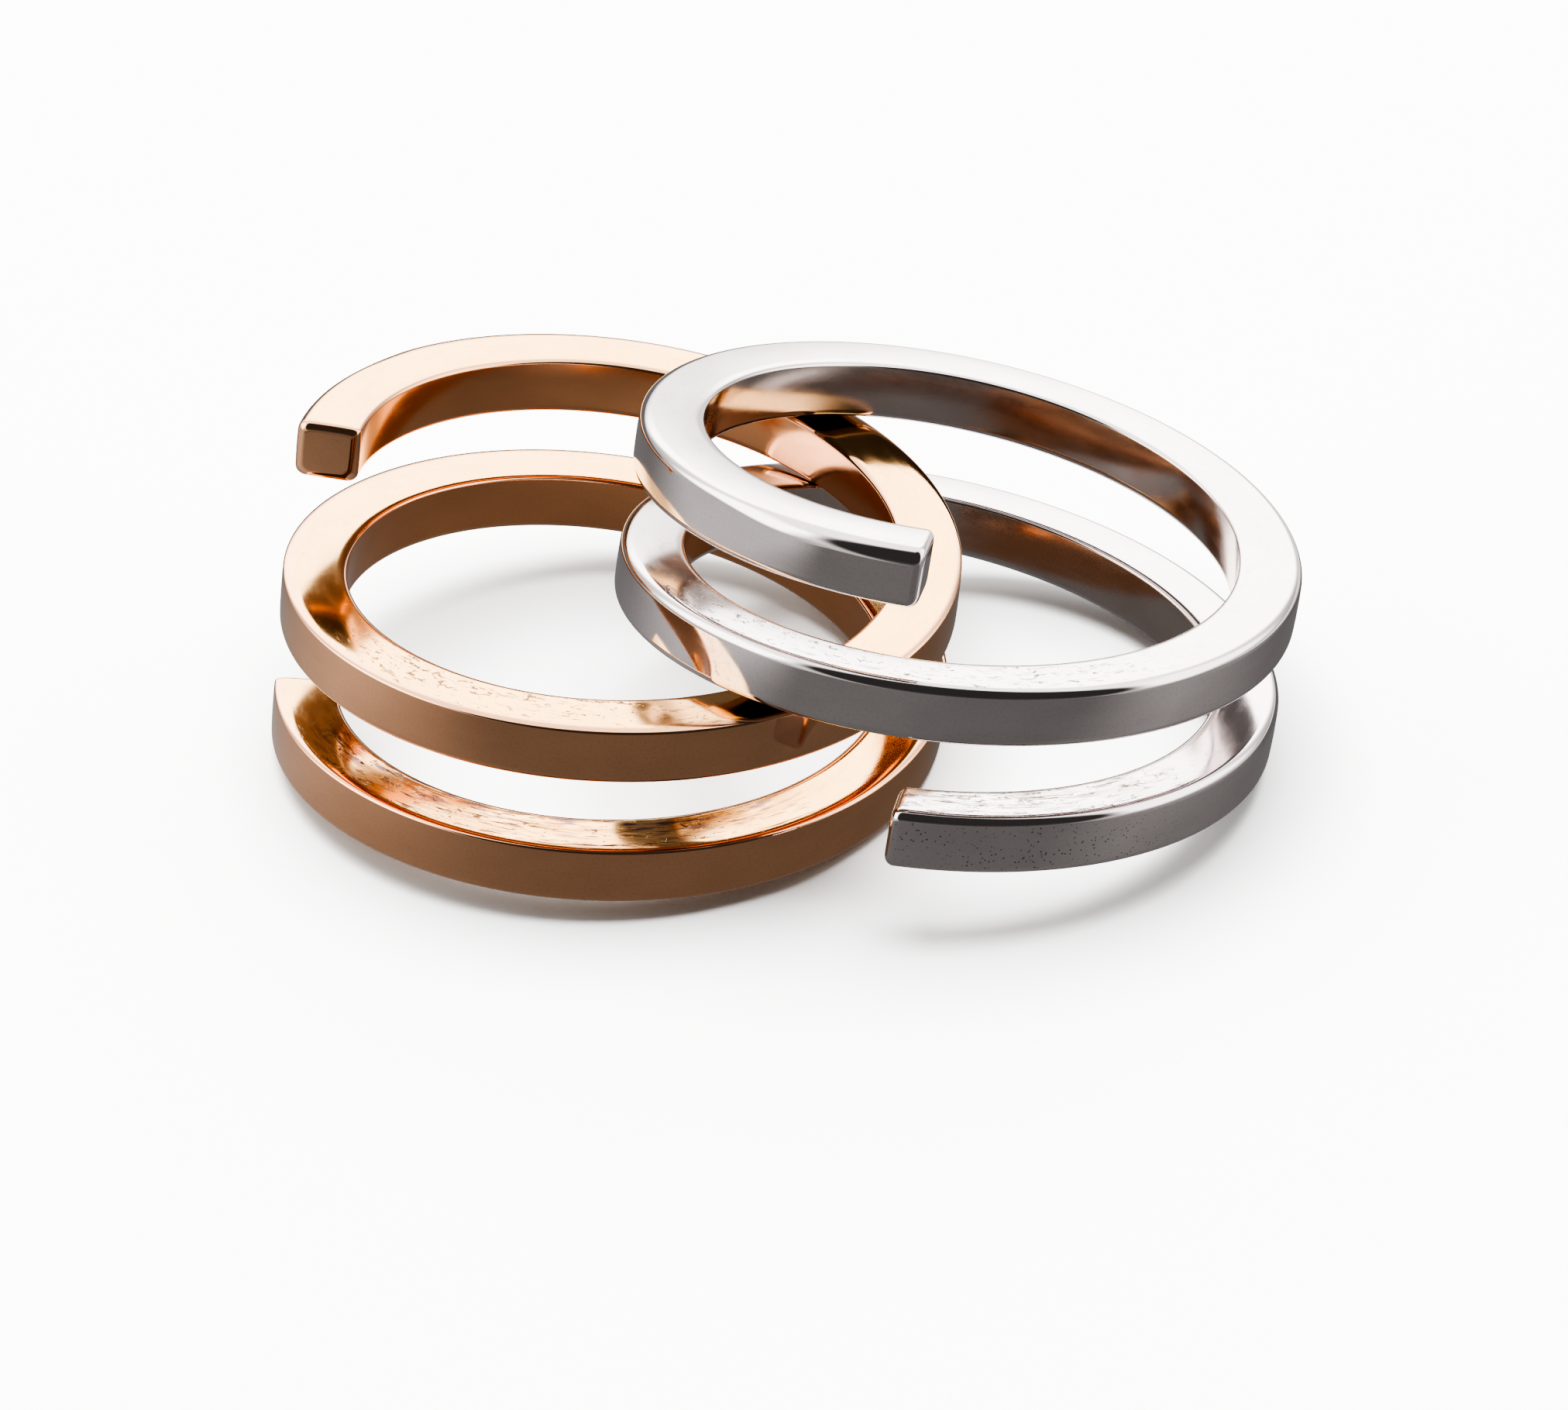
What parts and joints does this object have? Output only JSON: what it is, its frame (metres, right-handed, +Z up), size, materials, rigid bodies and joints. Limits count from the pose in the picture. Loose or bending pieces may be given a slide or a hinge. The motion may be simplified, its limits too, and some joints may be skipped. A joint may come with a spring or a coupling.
{
  "type": "spiral finger ring pair",
  "caption": "Matching spiral finger rings of square wire, rose and white, threaded through each other like links and lying half apart.",
  "frame": {"origin": "middle of the pair's bounding box in plan, on the table plane it rests on", "axes": "+Z up from the table, +X from the rose ring towards the white ring, +Y away from the viewer of the usual front view"},
  "size_m": [0.032, 0.0228, 0.013],
  "materials": {
    "rose_gold": "polished",
    "white_gold": "polished"
  },
  "bodies": {
    "rose": {"rose_ring": "rose_gold"},
    "white": {"white_ring": "white_gold"}
  },
  "joints": [
    {"name": "white_swivel", "type": "hinge", "parent": "rose", "child": "white", "pos_m": [0.00091, 0.00762, 0.00402], "axis": [0.0466, 0.1498, 0.9876], "range_deg": [-45, 5]}
  ]
}
